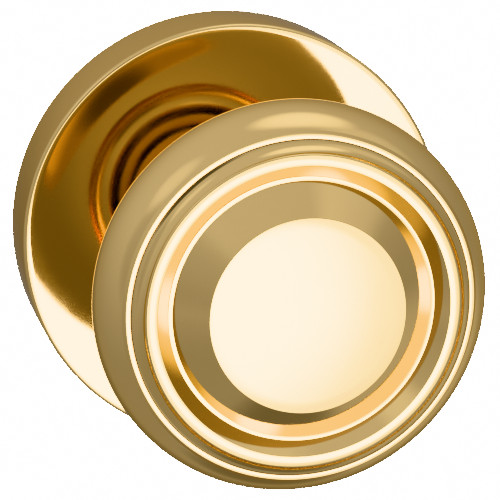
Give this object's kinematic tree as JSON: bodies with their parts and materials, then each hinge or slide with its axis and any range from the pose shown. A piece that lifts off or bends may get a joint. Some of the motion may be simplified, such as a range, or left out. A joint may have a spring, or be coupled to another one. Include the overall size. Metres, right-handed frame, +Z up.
{
  "type": "door knob",
  "caption": "Round polished brass door knob with stepped rings on a dished round rose, sprung to return, with spindle and fixing posts.",
  "frame": {"origin": "where the spindle's axis meets the face of the door, which is the plane y = 0", "axes": "-Y out of the door along the spindle's axis towards the person, +Y into the door, +Z up, +X to the right as seen from the knob's side"},
  "size_m": [0.0666, 0.0993, 0.0666],
  "materials": {
    "polished_brass": "mirror polished brass under clear lacquer",
    "plain_brass": "turned brass, not polished",
    "zinc_casting": "die-cast zinc alloy, matt grey",
    "steel": "zinc-plated steel",
    "nylon": "natural nylon"
  },
  "bodies": {
    "root": {"rose_cover": "polished_brass", "mounting_plate": "zinc_casting", "fixing_post_left": "steel", "fixing_post_right": "steel", "cassette_body": "zinc_casting", "cassette_lid": "zinc_casting", "cassette_screw_top": "steel", "cassette_screw_bottom": "steel", "stop_pin_left": "steel", "stop_pin_right": "steel", "return_spring": "steel", "neck_bushing": "nylon", "rose_grub_screw": "steel"},
    "knob": {"knob_cap": "polished_brass", "knob_body": "polished_brass", "shank": "plain_brass", "lock_washer": "steel", "shank_nut": "steel", "thrust_washer": "nylon", "drive_cam": "steel", "wave_washer": "steel", "retaining_ring": "steel", "spindle": "steel", "knob_grub_screw": "steel"}
  },
  "joints": [
    {"name": "knob_turn", "type": "hinge", "parent": "root", "child": "knob", "pos_m": [0, 0, 0], "axis": [0, -1, 0], "range_deg": [-60, 60], "stiffness_Nm_per_rad": 0.3, "deforming": ["return_spring"]}
  ]
}
